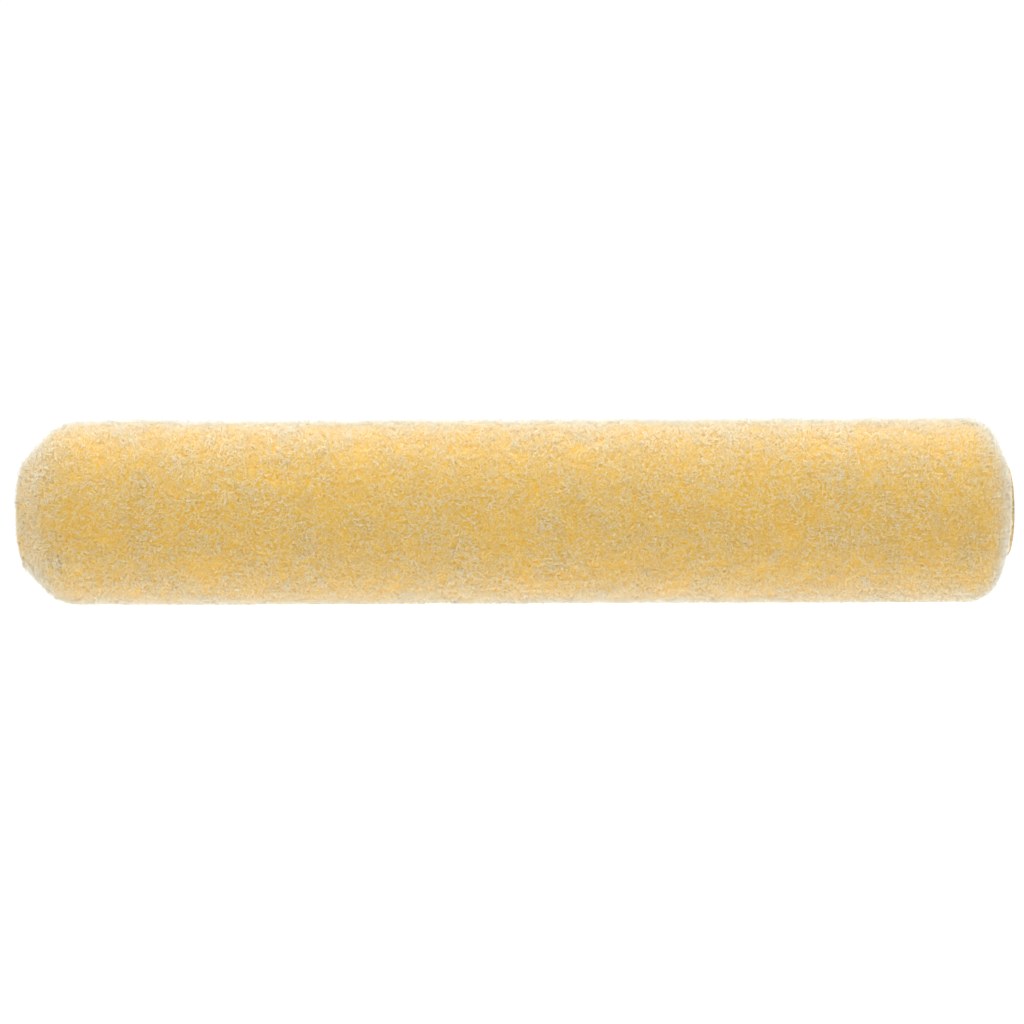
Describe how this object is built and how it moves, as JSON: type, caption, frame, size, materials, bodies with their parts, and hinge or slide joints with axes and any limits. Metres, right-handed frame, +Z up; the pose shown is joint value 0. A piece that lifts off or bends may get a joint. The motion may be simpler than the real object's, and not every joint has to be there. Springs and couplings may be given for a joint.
{
  "type": "paint roller cover",
  "caption": "Golden and white knitted pile roller cover with bevelled ends on a wound kraft core, for a cage roller frame.",
  "frame": {"origin": "centre of the bore, halfway along the cover", "axes": "+X along the bore towards the end with the steeper bevel, +Z up as the cover lies, +Y away from the viewer"},
  "size_m": [0.4572, 0.085, 0.0851],
  "materials": {
    "kraft_liner": "matte",
    "kraft_lower_middle": "matte",
    "kraft_upper_middle": "matte",
    "kraft_outer": "matte",
    "adhesive": "satin",
    "knit_backing": "matte",
    "pile_fibre": "matte"
  },
  "bodies": {
    "root": {"inner_ply": "kraft_liner", "lower_middle_ply": "kraft_lower_middle", "upper_middle_ply": "kraft_upper_middle", "outer_ply": "kraft_outer", "adhesive_film": "adhesive", "fabric_backing": "knit_backing", "pile": "pile_fibre"}
  },
  "joints": []
}
